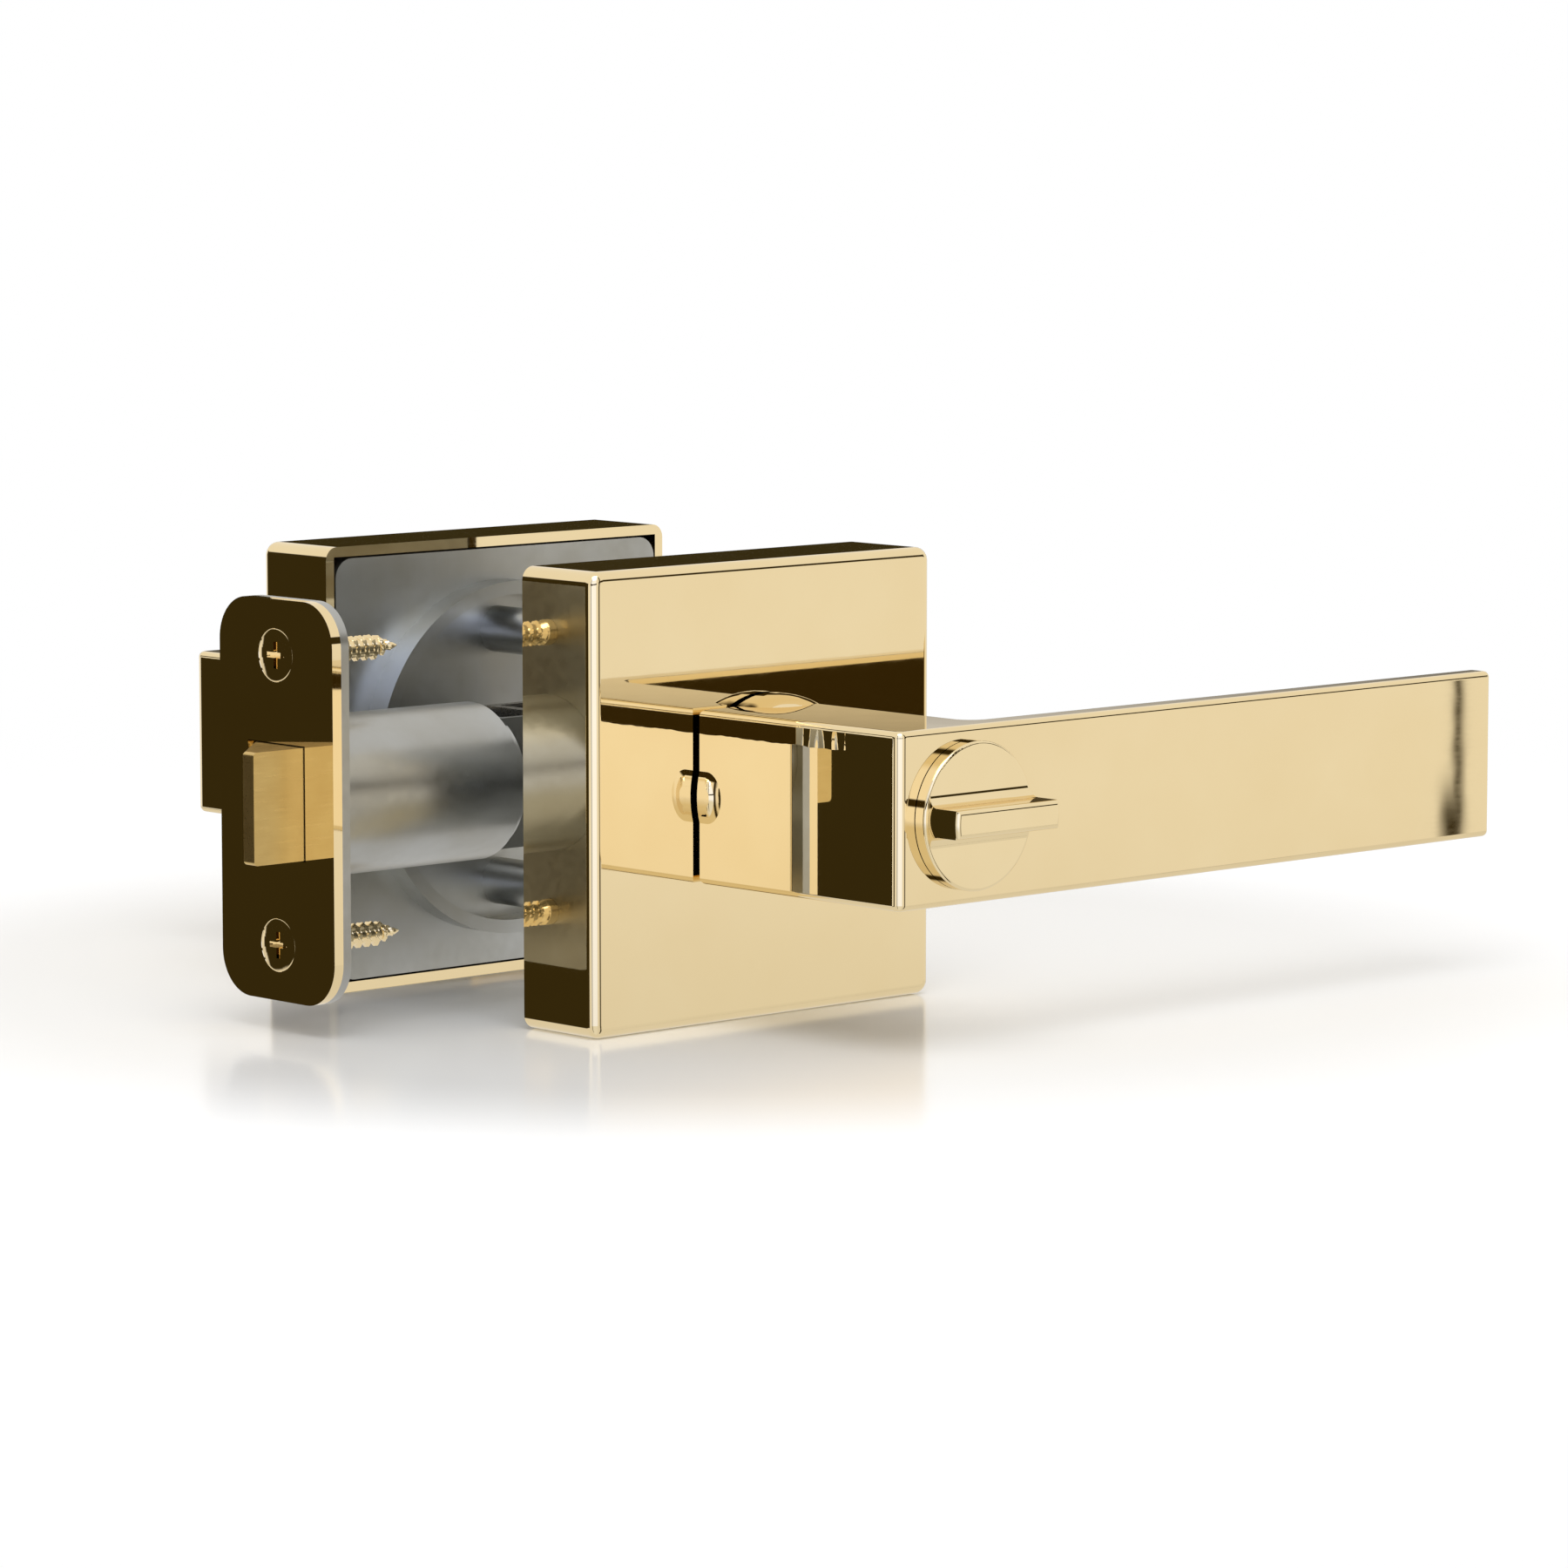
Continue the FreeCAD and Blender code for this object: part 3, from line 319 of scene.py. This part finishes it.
def closed_coil(name, low, high, wire, active_turns):
    """A compression spring along X between two corners, with one closed turn at each end."""
    steps = 32
    sides = 12
    crease = radians(50)
    radius = (high.y - low.y - wire) / 2
    middle_y = (high.y + low.y) / 2
    middle_z = (high.z + low.z) / 2
    run = high.x - low.x - wire
    pitch = (run - 2 * wire) / active_turns
    points = []
    for step in range(int((active_turns + 2) * steps) + 1):
        turns = step / steps
        along = low.x + wire / 2 + wire * min(turns, 1.0)
        along += pitch * min(max(turns - 1.0, 0.0), active_turns)
        along += wire * max(turns - 1.0 - active_turns, 0.0)
        for side in range(sides):
            round_wire = 2 * pi * side / sides
            out = radius + wire / 2 * cos(round_wire)
            points.append((along + wire / 2 * sin(round_wire), middle_y + out * cos(2 * pi * turns),
                           middle_z + out * sin(2 * pi * turns)))
    rings = len(points) // sides
    faces = [(ring * sides + i, ring * sides + (i + 1) % sides, (ring + 1) * sides + (i + 1) % sides,
              (ring + 1) * sides + i) for ring in range(rings - 1) for i in range(sides)]
    faces += [tuple(reversed(range(sides))), tuple(range((rings - 1) * sides, rings * sides))]
    coil_mesh = bpy.data.meshes.new(name)
    coil_mesh.from_pydata(points, [], faces)
    coil_mesh.shade_smooth()
    coil_mesh.set_sharp_from_angle(angle=crease)
    coil = bpy.data.objects.new(name, coil_mesh)
    bpy.context.scene.collection.objects.link(coil)
    return coil


BOLT_SPRING_WIRE = 0.0009
BOLT_SPRING_TURNS = 6
spring_low, spring_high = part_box("bolt_spring")
coil = closed_coil("bolt_spring_coil", spring_low, spring_high, BOLT_SPRING_WIRE, BOLT_SPRING_TURNS)
coil.data.materials.append(tempered_wire)
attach(coil, "door_fixed")
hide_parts("bolt_spring")
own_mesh(coil)


# ---- screws that hide in the levers and roses ----
# Socket set screws with a black oxide skin, oiled.

def black_oxide_steel():
    """Black oxide on steel: near black, dry and mottled where the oil has drawn off."""
    oil_spot = 0.0006
    oil_spot_depth = 6e-6
    material, tree, place = new_material("steel_black_oxide")
    mottle = put(tree, "TexNoise", {"Vector": place, "Scale": 1 / oil_spot, "Detail": 4.0})
    tint = put(tree, "Mix", {"Factor": mottle.outputs["Fac"], 6: linear("#26262a"), 7: linear("#3a3836")},
               data_type="RGBA")
    gloss = put(tree, "MapRange", {"Value": mottle.outputs["Fac"], "To Min": 0.34, "To Max": 0.58})
    bump = put(tree, "Bump", {"Height": mottle.outputs["Fac"], "Strength": 0.5, "Distance": oil_spot_depth})
    shader = put(tree, "BsdfPrincipled", {"Base Color": tint.outputs[2], "Metallic": 1.0,
                                          "Roughness": gloss.outputs[0], "Normal": bump.outputs[0]})
    put(tree, "OutputMaterial", {"Surface": shader.outputs[0]})
    return material


finish_nodes(["interior_lever_screw", "exterior_lever_screw", "interior_rose_screw", "exterior_rose_screw"],
             black_oxide_steel())


# ---- through bolts and threaded posts ----
# Two M4 machine screws, cross recessed, pull the inside half on to tapped posts that are riveted in the
# outside plate. The screws are rolled and the posts turned, and both are zinc plated.

def cut_cross(screw, long_half, short_half, depth):
    """Cuts a cross recess into the head of a screw that still lies along Z, head at the origin."""
    a, b = long_half, short_half
    clear_of_head = 0.0005
    rim = [(a, b), (b, b), (b, a), (-b, a), (-b, b), (-a, b),
           (-a, -b), (-b, -b), (-b, -a), (b, -a), (b, -b), (a, -b)]
    points = [(x, y, z) for z in (-clear_of_head, depth) for x, y in rim]
    count = len(rim)
    sides = [(i, (i + 1) % count, count + (i + 1) % count, count + i) for i in range(count)]
    caps = [tuple(reversed(range(count))), tuple(range(count, 2 * count))]
    punch_mesh = bpy.data.meshes.new("punch")
    punch_mesh.from_pydata(points, [], sides + caps)
    punch = bpy.data.objects.new("punch", punch_mesh)
    bpy.context.scene.collection.objects.link(punch)
    press = screw.modifiers.new("cross", "BOOLEAN")
    press.operation = "DIFFERENCE"
    press.object = punch
    graph = bpy.context.evaluated_depsgraph_get()
    stamped = bpy.data.meshes.new_from_object(screw.evaluated_get(graph))
    screw.modifiers.clear()
    screw.data = stamped
    bpy.data.objects.remove(punch)


def rolled_screw(name, outline, thread, ridge, cross, turn, at):
    """A screw turned from (height, radius) points, with a helical thread of (start, end, pitch, depth).

    Each crest narrows as ridge grows. The cross is (long half, short half, depth). The screw is made
    along Z with its head at the origin, then turned to point along turn from at.
    """
    sides = 40
    steps = 10
    finest_tip = 0.0001
    crease = radians(32)
    start, end, pitch, depth = thread
    heights = sorted({h for h, _ in outline} | {start + i * pitch / steps
                                                for i in range(int((end - start) / pitch * steps) + 1)})

    def blank(height):
        for (low, low_r), (high, high_r) in zip(outline, outline[1:]):
            if low <= height <= high and high > low:
                return low_r + (high_r - low_r) * (height - low) / (high - low)
        return outline[-1][1]

    points = [(0, 0, heights[0])]
    for height in heights:
        fade = max(0.0, min(1.0, (height - start) / pitch, (end - height) / pitch))
        for side in range(sides):
            turned = 2 * pi * side / sides
            phase = (height / pitch - side / sides) % 1.0
            crest = max(0.0, 1.0 - abs(2 * phase - 1.0) * ridge)
            radius = max(blank(height) - depth * fade * (1.0 - crest), finest_tip)
            points.append((radius * cos(turned), radius * sin(turned), height))
    points.append((0, 0, heights[-1]))
    faces = [(0, 1 + (i + 1) % sides, 1 + i) for i in range(sides)]
    for row in range(len(heights) - 1):
        low = 1 + row * sides
        for i in range(sides):
            j = (i + 1) % sides
            faces.append((low + i, low + j, low + sides + j, low + sides + i))
    top = 1 + (len(heights) - 1) * sides
    faces += [(len(points) - 1, top + i, top + (i + 1) % sides) for i in range(sides)]
    screw_mesh = bpy.data.meshes.new(name)
    screw_mesh.from_pydata(points, [], faces)
    screw = bpy.data.objects.new(name, screw_mesh)
    bpy.context.scene.collection.objects.link(screw)
    cut_cross(screw, *cross)
    place_matrix = Vector(turn).to_track_quat("Z", "X").to_matrix().to_4x4()
    place_matrix.translation = Vector(at)
    screw.data.transform(place_matrix)
    screw.data.shade_smooth()
    screw.data.set_sharp_from_angle(angle=crease)
    return screw


BOLT_SPACING = 0.038
M4_R = 0.002
M4_ROOT_R = 0.0014
M4_HEAD_R = 0.0035
M4_HEAD_HEIGHT = 0.0024
M4_PITCH = 0.0007
M4_THREAD_DEPTH = 0.00035
M4_PLAIN_SHANK = 0.004
M4_LEAD = 0.0006
M4_CREST = 1.0
M4_CROSS = (0.002, 0.00045, 0.0015)
turned_zinc = zinc_plated_steel("zinc_plated_turned_steel", "#c9cccd", "#b3b0a5")
finish_nodes(["threaded_posts"], turned_zinc)
bolt_low, bolt_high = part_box("through_bolts")
bolt_length = bolt_high.y - bolt_low.y
pan_head = [(0.0, 0.0026), (0.00025, 0.00305), (0.0007, 0.0034), (0.0012, M4_HEAD_R),
            (M4_HEAD_HEIGHT, M4_HEAD_R), (M4_HEAD_HEIGHT + 0.00001, M4_R),
            (bolt_length - M4_LEAD, M4_R), (bolt_length, M4_ROOT_R)]
m4_thread = (M4_PLAIN_SHANK, bolt_length - M4_LEAD, M4_PITCH, M4_THREAD_DEPTH)
for name, side in (("through_bolt_upper", 1), ("through_bolt_lower", -1)):
    bolt = rolled_screw(name, pan_head, m4_thread, M4_CREST, M4_CROSS, (0, 1, 0),
                        (0, bolt_low.y, side * BOLT_SPACING / 2))
    bolt.data.materials.append(turned_zinc)
    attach(bolt, "door_fixed")
    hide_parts("through_bolts")


# ---- latch case ----
# A seamed steel tube staked in the backplate, with a folded frame plugged into its far end.

finish_nodes(["latch_backplate", "latch_tube", "latch_frame"],
             zinc_plated_steel("zinc_plated_rolled_steel", "#bfc3c6", "#a3a199"))


# ---- latch faceplate and its screws ----
# Brass strip, blanked and buffed to match the levers, and two countersunk wood screws of the same
# finish, with a cross recess and a coarse thread that stops short of the head.

FACE_SCREW_SPACING = 0.0413
FACE_SCREW_R = 0.0019
FACE_SCREW_HEAD_R = 0.0038
FACE_SCREW_HEAD_HEIGHT = 0.002
FACE_SCREW_POINT = 0.004
FACE_SCREW_PLAIN_SHANK = 0.0042
FACE_SCREW_LEAD = 0.0008
FACE_SCREW_PITCH = 0.0016
FACE_SCREW_THREAD_DEPTH = 0.00055
FACE_SCREW_CREST = 2.6
FACE_SCREW_CROSS = (0.0019, 0.0004, 0.0012)
blanked_brass = polished_brass("brass_blanked_and_buffed", "#f3e0b5", "#edd7a8", 2.0e-6, 0.016, 0.04)
finish_nodes(["latch_faceplate"], blanked_brass)
screw_low, screw_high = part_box("faceplate_screws")
screw_length = screw_high.x - screw_low.x
face_low, face_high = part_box("latch_faceplate")
face_middle = (face_low.y + face_high.y) / 2
wood_screw = [(0.0, 0.0036), (0.0001, FACE_SCREW_HEAD_R), (FACE_SCREW_HEAD_HEIGHT, FACE_SCREW_R),
              (screw_length - FACE_SCREW_POINT, FACE_SCREW_R), (screw_length, 0.00015)]
wood_thread = (FACE_SCREW_PLAIN_SHANK, screw_length - FACE_SCREW_LEAD, FACE_SCREW_PITCH,
               FACE_SCREW_THREAD_DEPTH)
for name, side in (("faceplate_screw_upper", 1), ("faceplate_screw_lower", -1)):
    screw = rolled_screw(name, wood_screw, wood_thread, FACE_SCREW_CREST, FACE_SCREW_CROSS, (1, 0, 0),
                         (screw_low.x, face_middle, side * FACE_SCREW_SPACING / 2))
    screw.data.materials.append(blanked_brass)
    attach(screw, "door_fixed")
    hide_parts("faceplate_screws")


# ---- latch bolt ----
# Cast in brass and linished along its length, so it slides in the strike.

def linished_brass():
    """Cast brass off a fine belt: satin, with grit lines along the bolt and rubbed brighter in patches."""
    grit = 0.00022
    grit_depth = 5e-6
    grit_stretch = 0.05
    rub_patch = 0.005
    material, tree, place = new_material("brass_cast_and_linished")
    along = put(tree, "Mapping", {"Vector": place, "Scale": (grit_stretch, 1.0, 1.0)})
    lines = put(tree, "TexNoise", {"Vector": along.outputs[0], "Scale": 1 / grit, "Detail": 4.0})
    rubbed = put(tree, "TexNoise", {"Vector": place, "Scale": 1 / rub_patch, "Detail": 2.0})
    tint = put(tree, "Mix", {"Factor": rubbed.outputs["Fac"], 6: linear("#e0c686"), 7: linear("#cfb070")},
               data_type="RGBA")
    gloss = put(tree, "MapRange", {"Value": lines.outputs["Fac"], "To Min": 0.2, "To Max": 0.42})
    bump = put(tree, "Bump", {"Height": lines.outputs["Fac"], "Strength": 0.9, "Distance": grit_depth})
    shader = put(tree, "BsdfPrincipled", {"Base Color": tint.outputs[2], "Metallic": 1.0,
                                          "Roughness": gloss.outputs[0], "Normal": bump.outputs[0]})
    put(tree, "OutputMaterial", {"Surface": shader.outputs[0]})
    return material


finish_nodes(["latch_bolt"], linished_brass())


# ---- floor ----
# A white glossy table. The set stands on the roses' lower edges, and the table's gloss is kept to the
# patch round the set, so that it shows a short mirror image and fades to plain white.

WHITE = (1.0, 1.0, 1.0, 1.0)
FLOOR_GAP = 0.0001
FLOOR_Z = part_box("interior_rose_cover")[0].z - FLOOR_GAP
FLOOR_HALF = 3.0
FLOOR_MIDDLE = (0.02, 0.022, 0.0)
GLOSS_INSIDE = 0.10
GLOSS_OUTSIDE = 0.16
GLOSS_BLUR = 0.16
TABLE_WHITE = (0.97, 0.97, 0.97, 1.0)
WHITE_FROM = 0.14
WHITE_BY = 0.40

mesh = bpy.data.meshes.new("floor")
corners = ((-1, -1), (1, -1), (1, 1), (-1, 1))
mesh.from_pydata([(x * FLOOR_HALF, y * FLOOR_HALF, FLOOR_Z) for x, y in corners], [], [(0, 1, 2, 3)])
floor = bpy.data.objects.new("floor", mesh)
bpy.context.scene.collection.objects.link(floor)
floor.visible_glossy = False
table, tree, place = new_material("acrylic_cast_white")
centred = put(tree, "VectorMath", {0: place, 1: FLOOR_MIDDLE}, operation="SUBTRACT")
level = put(tree, "VectorMath", {0: centred.outputs[0], 1: (1.0, 1.0, 0.0)}, operation="MULTIPLY")
reach = put(tree, "VectorMath", {0: level.outputs[0]}, operation="LENGTH")
patch = put(tree, "MapRange", {"Value": reach.outputs["Value"], "From Min": GLOSS_INSIDE,
                               "From Max": GLOSS_OUTSIDE, "To Min": 1.0, "To Max": 0.0},
            interpolation_type="SMOOTHSTEP")
edge_on = put(tree, "Fresnel", {"IOR": 1.45})
share = put(tree, "Math", {0: patch.outputs[0], 1: edge_on.outputs[0]}, operation="MULTIPLY")
matt = put(tree, "BsdfDiffuse", {"Color": TABLE_WHITE})
mirror = put(tree, "BsdfGlossy", {"Color": WHITE, "Roughness": GLOSS_BLUR})
top = put(tree, "MixShader", {"Fac": share.outputs[0], 1: matt.outputs[0], 2: mirror.outputs[0]})
plain = put(tree, "Emission", {"Color": WHITE, "Strength": 1.0})
far = put(tree, "MapRange", {"Value": reach.outputs["Value"], "From Min": WHITE_FROM, "From Max": WHITE_BY},
          interpolation_type="SMOOTHSTEP")
eye = put(tree, "LightPath")
faded = put(tree, "Math", {0: far.outputs[0], 1: eye.outputs["Is Camera Ray"]}, operation="MULTIPLY")
surface = put(tree, "MixShader", {"Fac": faded.outputs[0], 1: top.outputs[0], 2: plain.outputs[0]})
put(tree, "OutputMaterial", {"Surface": surface.outputs[0]})
mesh.materials.append(table)
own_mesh(floor)


# ---- light ----
# A white tent lights the set evenly. It has dark cloths, poles and rails, and a window at the front left
# with cool daylight over its sill. Only mirrors see them: they give polished brass its near-black sides,
# dark lines and pale edges. A soft lamp overhead adds a shadow. Bearings and heights are in degrees; the
# tip pole is a thin one that shows as the dark bar near the lever's tip, and its foot makes the bar's end.

CLOTH = "#372e15"
WARM_WALL = (0.93, 0.90, 0.85, 1.0)
DAYLIGHT = (1.15, 1.24, 1.6, 1.0)
TENT_FLOOR_SHADE = 0.86
TENT_FLOOR_TO = -10.0
TENT_WALL_FROM = -6.5
WINDOW = (-165, -100, 8)
SILL_FROM = -14.0
SILL_TO = -9.0
LIGHT_ON_MATT = 0.8
world = bpy.data.worlds.new("white_tent")
bpy.context.scene.world = world
world.use_nodes = True
tree = world.node_tree
tree.nodes.clear()
toward = put(tree, "SeparateXYZ", {0: put(tree, "TexCoord").outputs["Generated"]})
bearing = put(tree, "Math", {0: toward.outputs["Y"], 1: toward.outputs["X"]}, operation="ARCTAN2")
height = put(tree, "Math", {0: toward.outputs["Z"]}, operation="ARCSINE")


def band(value, low, high, soft):
    """1 where a bearing or height in degrees lies between low and high, with soft edges."""
    rise = put(tree, "MapRange", {"Value": value, "From Min": radians(low - soft),
                                  "From Max": radians(low + soft)}, interpolation_type="SMOOTHSTEP")
    fall = put(tree, "MapRange", {"Value": value, "From Min": radians(high - soft),
                                  "From Max": radians(high + soft), "To Min": 1.0, "To Max": 0.0},
               interpolation_type="SMOOTHSTEP")
    return put(tree, "Math", {0: rise.outputs[0], 1: fall.outputs[0]}, operation="MULTIPLY").outputs[0]


def panel(bearings, heights):
    """A cloth, pole or rail in the tent, by its low and high bearings, its heights and how soft they end."""
    across = band(bearing.outputs[0], *bearings)
    up = band(height.outputs[0], *heights)
    return put(tree, "Math", {0: across, 1: up}, operation="MULTIPLY").outputs[0]


left_cloth = panel((108, 172, 2), (-24, 18, 2))
right_cloth = panel((32, 62, 3), (-10, 6.15, 0.9))
front_pole = panel((-74, -62, 3), (-60, 60, 5))
corner_pole = panel((-160, -154, 2), (-60, 60, 5))
top_rail = panel((-78, -25, 4), (6.3, 20, 0.9))
window_head = panel((-165, -95, 3), (8, 16, 1))
tip_pole = panel((-41.085, -40.995, 0.05), (-30, 8, 2))
pole_foot = panel((-41.18, -41.0, 0.07), (-30, -6.8, 0.3))
cloths = left_cloth
for dark in (right_cloth, front_pole, corner_pole, top_rail, window_head, tip_pole, pole_foot):
    cloths = put(tree, "Math", {0: cloths, 1: dark}, operation="MAXIMUM").outputs[0]
lower = put(tree, "MapRange", {"Value": height.outputs[0], "From Min": radians(TENT_FLOOR_TO),
                               "From Max": radians(TENT_WALL_FROM), "To Min": TENT_FLOOR_SHADE,
                               "To Max": 1.0}, interpolation_type="SMOOTHSTEP")
window = band(bearing.outputs[0], *WINDOW)
over_sill = put(tree, "MapRange", {"Value": height.outputs[0], "From Min": radians(SILL_FROM),
                                   "From Max": radians(SILL_TO)})
pane = put(tree, "Mix", {"Factor": over_sill.outputs[0], 6: WHITE, 7: DAYLIGHT}, data_type="RGBA")
walls = put(tree, "Mix", {"Factor": window, 6: WARM_WALL, 7: pane.outputs[2]}, data_type="RGBA")
tent = put(tree, "VectorMath", {0: walls.outputs[2], "Scale": lower.outputs[0]}, operation="SCALE")
seen = put(tree, "Mix", {"Factor": cloths, 6: tent.outputs[0], 7: linear(CLOTH)}, data_type="RGBA")
path = put(tree, "LightPath")
by_mirror = put(tree, "Background", {"Color": seen.outputs[2], "Strength": 1.0})
by_eye = put(tree, "Background", {"Color": WHITE, "Strength": 1.0})
by_lit = put(tree, "Background", {"Color": WHITE, "Strength": LIGHT_ON_MATT})
by_eye_or_lit = put(tree, "MixShader", {"Fac": path.outputs["Is Camera Ray"], 1: by_lit.outputs[0],
                                        2: by_eye.outputs[0]})
tent_light = put(tree, "MixShader", {"Fac": path.outputs["Is Glossy Ray"], 1: by_eye_or_lit.outputs[0],
                                     2: by_mirror.outputs[0]})
put(tree, "OutputWorld", {"Surface": tent_light.outputs[0]})

LAMP_SIDE = 0.9
LAMP_DISTANCE = 1.4
LAMP_WATTS = 8.0
LAMP_FROM = (-0.25, -0.35, 0.9)
lamp = bpy.data.lights.new("overhead_softbox", "AREA")
lamp.size = LAMP_SIDE
lamp.energy = LAMP_WATTS
holder = bpy.data.objects.new("overhead_softbox", lamp)
bpy.context.scene.collection.objects.link(holder)
aim = Vector(LAMP_FROM).normalized()
holder.location = aim * LAMP_DISTANCE
holder.rotation_euler = aim.to_track_quat("Z", "Y").to_euler()


# ---- camera ----
# A long lens, left of the inside rose and a little above it, turned to take in the whole set.

camera = bpy.data.cameras.new("camera")
camera.lens = 148
camera.sensor_width = 36
camera.clip_start = 0.05
camera.clip_end = 50
viewer = bpy.data.objects.new("camera", camera)
bpy.context.scene.collection.objects.link(viewer)
viewer.location = (-0.624, -0.689, 0.110)
middle_of_set = Vector((0.0175, 0.0, -0.002))
viewer.rotation_euler = (viewer.location - middle_of_set).to_track_quat("Z", "Y").to_euler()
bpy.context.scene.camera = viewer
bpy.context.scene.view_settings.view_transform = "Standard"
